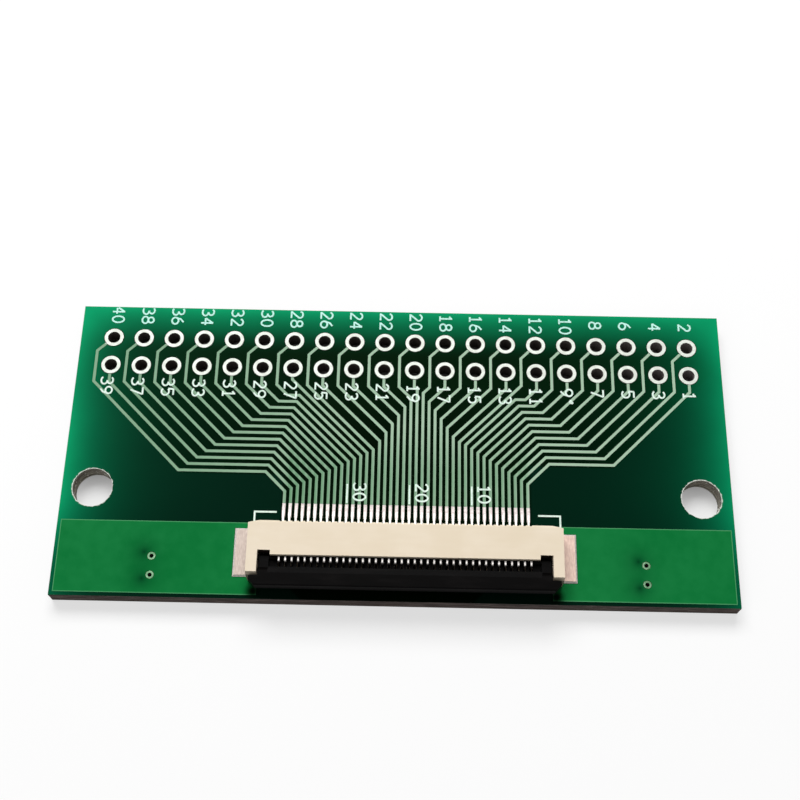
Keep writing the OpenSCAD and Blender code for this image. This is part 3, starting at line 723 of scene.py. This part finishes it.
def drawSocketMarks(bm):
    look = socketPrint
    for count in look["counts"]:
        tickX = firstPadX - padPitch * (count - 1)
        drawNumber(bm, str(count), tickX + look["numberShift"], look["numberStart"])
        drawStroke(bm, [(tickX, look["tickStart"]), (tickX, look["tickEnd"])])
    for (cornerX, cornerY), inward in ((look["leftCorner"], 1), (look["rightCorner"], -1)):
        arm = (cornerX + inward * look["armLength"], cornerY)
        drawStroke(bm, [arm, (cornerX, cornerY), (cornerX, look["legEnd"])])


makePrint("socket_marks", drawSocketMarks)
print("print done")

# pale floor and white surroundings
stageLook = {
    "floorSize": 6.0,
    "floorDrop": 0.02 * mm,
    "floorColour": (0.34, 0.34, 0.34, 1),
    "floorLift": 0.655,
    "farLift": 0.94,
    "nearReach": 0.03,
    "farReach": 0.25,
    "mountLift": 0.8,
    "mountX": 22 * mm,
    "mountShade": 0.7,
    "mountShadeSpan": (-5 * mm, -1 * mm),
    "softEdge": 0.1 * mm,
    "skyLevel": 0.17,
}


def seenDirectly(wire):
    path = wire.add("ShaderNodeLightPath").socket.node
    camera, glossy, through = [
        Wire(wire.tree, path.outputs[name])
        for name in ("Is Camera Ray", "Is Glossy Ray", "Is Transmission Ray")
    ]
    return camera.most(glossy).most(through)


def makeFloor():
    look = stageLook
    bm = bmesh.new()
    bmesh.ops.create_grid(bm, x_segments=1, y_segments=1, size=look["floorSize"] / 2)
    bmesh.ops.translate(bm, verts=bm.verts[:], vec=(0, 0, -look["floorDrop"]))
    mesh = bpy.data.meshes.new("floor")
    bm.to_mesh(mesh)
    bm.free()
    floor = bpy.data.objects.new("floor", mesh)
    bpy.context.scene.collection.objects.link(floor)
    material, wire = newMaterial("floorPaper")
    x, y = wire.axes()[:2]
    outside = (-1 * insideBox(x, y, boardLow, boardHigh)).rise(-look["softEdge"], 0)
    # painted light on the floor seen through the mounting holes, with painted shade towards the back of each
    # hole
    lit = (1 - look["mountShade"] * y.rise(*look["mountShadeSpan"])) * (1 - y.rise(0, look["softEdge"]))
    underMounts = abs(x).rise(look["mountX"], look["mountX"] + look["softEdge"]) * lit
    far = distance(wire, x, y, (0, 0)).rise(look["nearReach"], look["farReach"])
    level = look["floorLift"] + (look["farLift"] - look["floorLift"]) * far
    wire.finish({
        "Base Color": look["floorColour"],
        "Roughness": 1.0,
        "Specular IOR Level": 0.0,
        "Emission Color": seenDirectly(wire) * outside.most(look["mountLift"] * underMounts) * level,
        "Emission Strength": 1.0,
    })
    mesh.materials.append(material)


def makeSky():
    world = bpy.data.worlds.new("softRoom")
    world.use_nodes = True
    world.node_tree.nodes.clear()
    wire = Wire(world.node_tree)
    direct = seenDirectly(wire)
    level = stageLook["skyLevel"] + (1 - stageLook["skyLevel"]) * direct
    sky = wire.add("ShaderNodeBackground", {}, {"Color": (1, 1, 1, 1), "Strength": level})
    wire.add("ShaderNodeOutputWorld", {}, {"Surface": sky})
    bpy.context.scene.world = world


makeFloor()
makeSky()

# lamps: a broad one behind the board, a weaker one in front on the left
lampLook = {
    "keyLamp": {"place": (-0.06, 0.27, 0.37), "size": (0.36, 0.22), "power": 2.35},
    "fillLamp": {"place": (-0.3, -0.3, 0.34), "size": (0.3, 0.3), "power": 0.2},
}


def makeLamp(name, place, size, power):
    lamp = bpy.data.lights.new(name, "AREA")
    lamp.shape = "RECTANGLE"
    lamp.size, lamp.size_y = size
    lamp.energy = power
    holder = bpy.data.objects.new(name, lamp)
    holder.location = place
    holder.rotation_euler = (-Vector(place)).to_track_quat("-Z", "Y").to_euler()
    bpy.context.scene.collection.objects.link(holder)


for name, settings in lampLook.items():
    makeLamp(name, **settings)

# camera at the photograph's angle
cameraLook = {
    "azimuth": 0.656,
    "elevation": 66.441,
    "distance": 107.517 * mm,
    "aim": (0.104 * mm, 4.439 * mm, 1.6 * mm),
    "roll": 0.525,
    "lens": 58.5,
    "sensor": 36,
    "clip": (1 * mm, 20),
}


def makeCamera():
    look = cameraLook
    azimuth = math.radians(look["azimuth"])
    elevation = math.radians(look["elevation"])
    reach = math.cos(elevation)
    back = Vector((math.sin(azimuth) * reach, -math.cos(azimuth) * reach, math.sin(elevation)))
    lens = bpy.data.cameras.new("camera")
    lens.lens = look["lens"]
    lens.sensor_width = look["sensor"]
    lens.clip_start, lens.clip_end = look["clip"]
    camera = bpy.data.objects.new("camera", lens)
    roll = Matrix.Rotation(math.radians(look["roll"]), 3, "Z")
    camera.rotation_euler = ((-back).to_track_quat("-Z", "Y").to_matrix() @ roll).to_euler()
    camera.location = Vector(look["aim"]) + back * look["distance"]
    bpy.context.scene.collection.objects.link(camera)
    bpy.context.scene.camera = camera


makeCamera()
bpy.context.scene.view_settings.view_transform = "Standard"
print("stage done")
